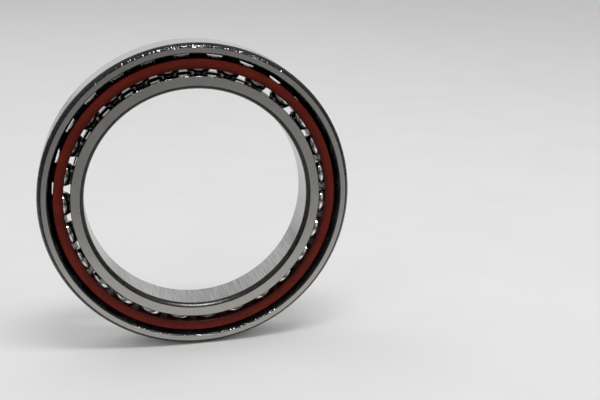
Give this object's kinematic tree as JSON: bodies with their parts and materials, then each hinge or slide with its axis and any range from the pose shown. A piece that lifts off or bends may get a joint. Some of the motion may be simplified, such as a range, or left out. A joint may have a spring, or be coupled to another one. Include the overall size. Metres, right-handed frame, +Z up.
{
  "type": "angular contact ball bearing",
  "caption": "Open single-row angular contact ball bearing: two steel rings turn on steel balls held in a machined phenolic resin cage.",
  "frame": {"origin": "on the bearing's axis at mid-width", "axes": "+Y along the axis from the front (relieved side of the outer ring) to the back, +Z up, +X to the right seen from the front"},
  "size_m": [0.14, 0.02, 0.14],
  "materials": {
    "ring_steel": "ground satin",
    "ball_steel": "lapped mirror",
    "cage_resin": "machined satin"
  },
  "bodies": {
    "outer_ring": {"outer_ring": "ring_steel"},
    "inner_ring": {"inner_ring": "ring_steel"},
    "cage": {"cage": "cage_resin"},
    "ball_01": {"ball_01": "ball_steel"},
    "ball_02": {"ball_02": "ball_steel"},
    "ball_03": {"ball_03": "ball_steel"},
    "ball_04": {"ball_04": "ball_steel"},
    "ball_05": {"ball_05": "ball_steel"},
    "ball_06": {"ball_06": "ball_steel"},
    "ball_07": {"ball_07": "ball_steel"},
    "ball_08": {"ball_08": "ball_steel"},
    "ball_09": {"ball_09": "ball_steel"},
    "ball_10": {"ball_10": "ball_steel"},
    "ball_11": {"ball_11": "ball_steel"},
    "ball_12": {"ball_12": "ball_steel"},
    "ball_13": {"ball_13": "ball_steel"},
    "ball_14": {"ball_14": "ball_steel"},
    "ball_15": {"ball_15": "ball_steel"},
    "ball_16": {"ball_16": "ball_steel"},
    "ball_17": {"ball_17": "ball_steel"},
    "ball_18": {"ball_18": "ball_steel"},
    "ball_19": {"ball_19": "ball_steel"},
    "ball_20": {"ball_20": "ball_steel"},
    "ball_21": {"ball_21": "ball_steel"},
    "ball_22": {"ball_22": "ball_steel"},
    "ball_23": {"ball_23": "ball_steel"},
    "ball_24": {"ball_24": "ball_steel"},
    "ball_25": {"ball_25": "ball_steel"},
    "ball_26": {"ball_26": "ball_steel"},
    "ball_27": {"ball_27": "ball_steel"}
  },
  "joints": [
    {"name": "inner_ring_spin", "type": "hinge", "parent": "outer_ring", "child": "inner_ring", "pos_m": [0, 0, 0], "axis": [0, 1, 0], "continuous": true},
    {"name": "cage_spin", "type": "hinge", "parent": "outer_ring", "child": "cage", "pos_m": [0, 0, 0], "axis": [0, 1, 0], "continuous": true},
    {"name": "ball_01_spin", "type": "hinge", "parent": "cage", "child": "ball_01", "pos_m": [0.05933, 0, 0.00749], "axis": [-0.2568, 0.9659, -0.0324], "continuous": true},
    {"name": "ball_02_spin", "type": "hinge", "parent": "cage", "child": "ball_02", "pos_m": [0.056, 0, 0.02097], "axis": [-0.2424, 0.9659, -0.0908], "continuous": true},
    {"name": "ball_03_spin", "type": "hinge", "parent": "cage", "child": "ball_03", "pos_m": [0.04965, 0, 0.03332], "axis": [-0.2149, 0.9659, -0.1442], "continuous": true},
    {"name": "ball_04_spin", "type": "hinge", "parent": "cage", "child": "ball_04", "pos_m": [0.04063, 0, 0.04388], "axis": [-0.1759, 0.9659, -0.1899], "continuous": true},
    {"name": "ball_05_spin", "type": "hinge", "parent": "cage", "child": "ball_05", "pos_m": [0.02942, 0, 0.05206], "axis": [-0.1273, 0.9659, -0.2253], "continuous": true},
    {"name": "ball_06_spin", "type": "hinge", "parent": "cage", "child": "ball_06", "pos_m": [0.01662, 0, 0.05744], "axis": [-0.0719, 0.9659, -0.2486], "continuous": true},
    {"name": "ball_07_spin", "type": "hinge", "parent": "cage", "child": "ball_07", "pos_m": [0.00292, 0, 0.05973], "axis": [-0.0126, 0.9659, -0.2585], "continuous": true},
    {"name": "ball_08_spin", "type": "hinge", "parent": "cage", "child": "ball_08", "pos_m": [-0.01093, 0, 0.05879], "axis": [0.0473, 0.9659, -0.2545], "continuous": true},
    {"name": "ball_09_spin", "type": "hinge", "parent": "cage", "child": "ball_09", "pos_m": [-0.0242, 0, 0.05469], "axis": [0.1047, 0.9659, -0.2367], "continuous": true},
    {"name": "ball_10_spin", "type": "hinge", "parent": "cage", "child": "ball_10", "pos_m": [-0.03616, 0, 0.04763], "axis": [0.1565, 0.9659, -0.2062], "continuous": true},
    {"name": "ball_11_spin", "type": "hinge", "parent": "cage", "child": "ball_11", "pos_m": [-0.04617, 0, 0.03801], "axis": [0.1998, 0.9659, -0.1645], "continuous": true},
    {"name": "ball_12_spin", "type": "hinge", "parent": "cage", "child": "ball_12", "pos_m": [-0.05369, 0, 0.02634], "axis": [0.2324, 0.9659, -0.114], "continuous": true},
    {"name": "ball_13_spin", "type": "hinge", "parent": "cage", "child": "ball_13", "pos_m": [-0.05831, 0, 0.01325], "axis": [0.2524, 0.9659, -0.0573], "continuous": true},
    {"name": "ball_14_spin", "type": "hinge", "parent": "cage", "child": "ball_14", "pos_m": [-0.0598, 0, -0.00056], "axis": [0.2588, 0.9659, 0.0024], "continuous": true},
    {"name": "ball_15_spin", "type": "hinge", "parent": "cage", "child": "ball_15", "pos_m": [-0.05806, 0, -0.01433], "axis": [0.2513, 0.9659, 0.062], "continuous": true},
    {"name": "ball_16_spin", "type": "hinge", "parent": "cage", "child": "ball_16", "pos_m": [-0.05319, 0, -0.02733], "axis": [0.2302, 0.9659, 0.1183], "continuous": true},
    {"name": "ball_17_spin", "type": "hinge", "parent": "cage", "child": "ball_17", "pos_m": [-0.04545, 0, -0.03886], "axis": [0.1967, 0.9659, 0.1682], "continuous": true},
    {"name": "ball_18_spin", "type": "hinge", "parent": "cage", "child": "ball_18", "pos_m": [-0.03526, 0, -0.0483], "axis": [0.1526, 0.9659, 0.209], "continuous": true},
    {"name": "ball_19_spin", "type": "hinge", "parent": "cage", "child": "ball_19", "pos_m": [-0.02317, 0, -0.05513], "axis": [0.1003, 0.9659, 0.2386], "continuous": true},
    {"name": "ball_20_spin", "type": "hinge", "parent": "cage", "child": "ball_20", "pos_m": [-0.00984, 0, -0.05899], "axis": [0.0426, 0.9659, 0.2553], "continuous": true},
    {"name": "ball_21_spin", "type": "hinge", "parent": "cage", "child": "ball_21", "pos_m": [0.00403, 0, -0.05966], "axis": [-0.0175, 0.9659, 0.2582], "continuous": true},
    {"name": "ball_22_spin", "type": "hinge", "parent": "cage", "child": "ball_22", "pos_m": [0.01768, 0, -0.05713], "axis": [-0.0765, 0.9659, 0.2472], "continuous": true},
    {"name": "ball_23_spin", "type": "hinge", "parent": "cage", "child": "ball_23", "pos_m": [0.03038, 0, -0.05151], "axis": [-0.1315, 0.9659, 0.2229], "continuous": true},
    {"name": "ball_24_spin", "type": "hinge", "parent": "cage", "child": "ball_24", "pos_m": [0.04144, 0, -0.04311], "axis": [-0.1794, 0.9659, 0.1866], "continuous": true},
    {"name": "ball_25_spin", "type": "hinge", "parent": "cage", "child": "ball_25", "pos_m": [0.05027, 0, -0.03239], "axis": [-0.2176, 0.9659, 0.1402], "continuous": true},
    {"name": "ball_26_spin", "type": "hinge", "parent": "cage", "child": "ball_26", "pos_m": [0.05638, 0, -0.01993], "axis": [-0.244, 0.9659, 0.0863], "continuous": true},
    {"name": "ball_27_spin", "type": "hinge", "parent": "cage", "child": "ball_27", "pos_m": [0.05946, 0, -0.00639], "axis": [-0.2573, 0.9659, 0.0277], "continuous": true}
  ],
  "couplings": [
    {"joint": "cage_spin", "follows": "inner_ring_spin", "ratio": 0.45397},
    {"joint": "ball_01_spin", "follows": "inner_ring_spin", "ratio": -5.2012},
    {"joint": "ball_02_spin", "follows": "inner_ring_spin", "ratio": -5.2012},
    {"joint": "ball_03_spin", "follows": "inner_ring_spin", "ratio": -5.2012},
    {"joint": "ball_04_spin", "follows": "inner_ring_spin", "ratio": -5.2012},
    {"joint": "ball_05_spin", "follows": "inner_ring_spin", "ratio": -5.2012},
    {"joint": "ball_06_spin", "follows": "inner_ring_spin", "ratio": -5.2012},
    {"joint": "ball_07_spin", "follows": "inner_ring_spin", "ratio": -5.2012},
    {"joint": "ball_08_spin", "follows": "inner_ring_spin", "ratio": -5.2012},
    {"joint": "ball_09_spin", "follows": "inner_ring_spin", "ratio": -5.2012},
    {"joint": "ball_10_spin", "follows": "inner_ring_spin", "ratio": -5.2012},
    {"joint": "ball_11_spin", "follows": "inner_ring_spin", "ratio": -5.2012},
    {"joint": "ball_12_spin", "follows": "inner_ring_spin", "ratio": -5.2012},
    {"joint": "ball_13_spin", "follows": "inner_ring_spin", "ratio": -5.2012},
    {"joint": "ball_14_spin", "follows": "inner_ring_spin", "ratio": -5.2012},
    {"joint": "ball_15_spin", "follows": "inner_ring_spin", "ratio": -5.2012},
    {"joint": "ball_16_spin", "follows": "inner_ring_spin", "ratio": -5.2012},
    {"joint": "ball_17_spin", "follows": "inner_ring_spin", "ratio": -5.2012},
    {"joint": "ball_18_spin", "follows": "inner_ring_spin", "ratio": -5.2012},
    {"joint": "ball_19_spin", "follows": "inner_ring_spin", "ratio": -5.2012},
    {"joint": "ball_20_spin", "follows": "inner_ring_spin", "ratio": -5.2012},
    {"joint": "ball_21_spin", "follows": "inner_ring_spin", "ratio": -5.2012},
    {"joint": "ball_22_spin", "follows": "inner_ring_spin", "ratio": -5.2012},
    {"joint": "ball_23_spin", "follows": "inner_ring_spin", "ratio": -5.2012},
    {"joint": "ball_24_spin", "follows": "inner_ring_spin", "ratio": -5.2012},
    {"joint": "ball_25_spin", "follows": "inner_ring_spin", "ratio": -5.2012},
    {"joint": "ball_26_spin", "follows": "inner_ring_spin", "ratio": -5.2012},
    {"joint": "ball_27_spin", "follows": "inner_ring_spin", "ratio": -5.2012}
  ]
}
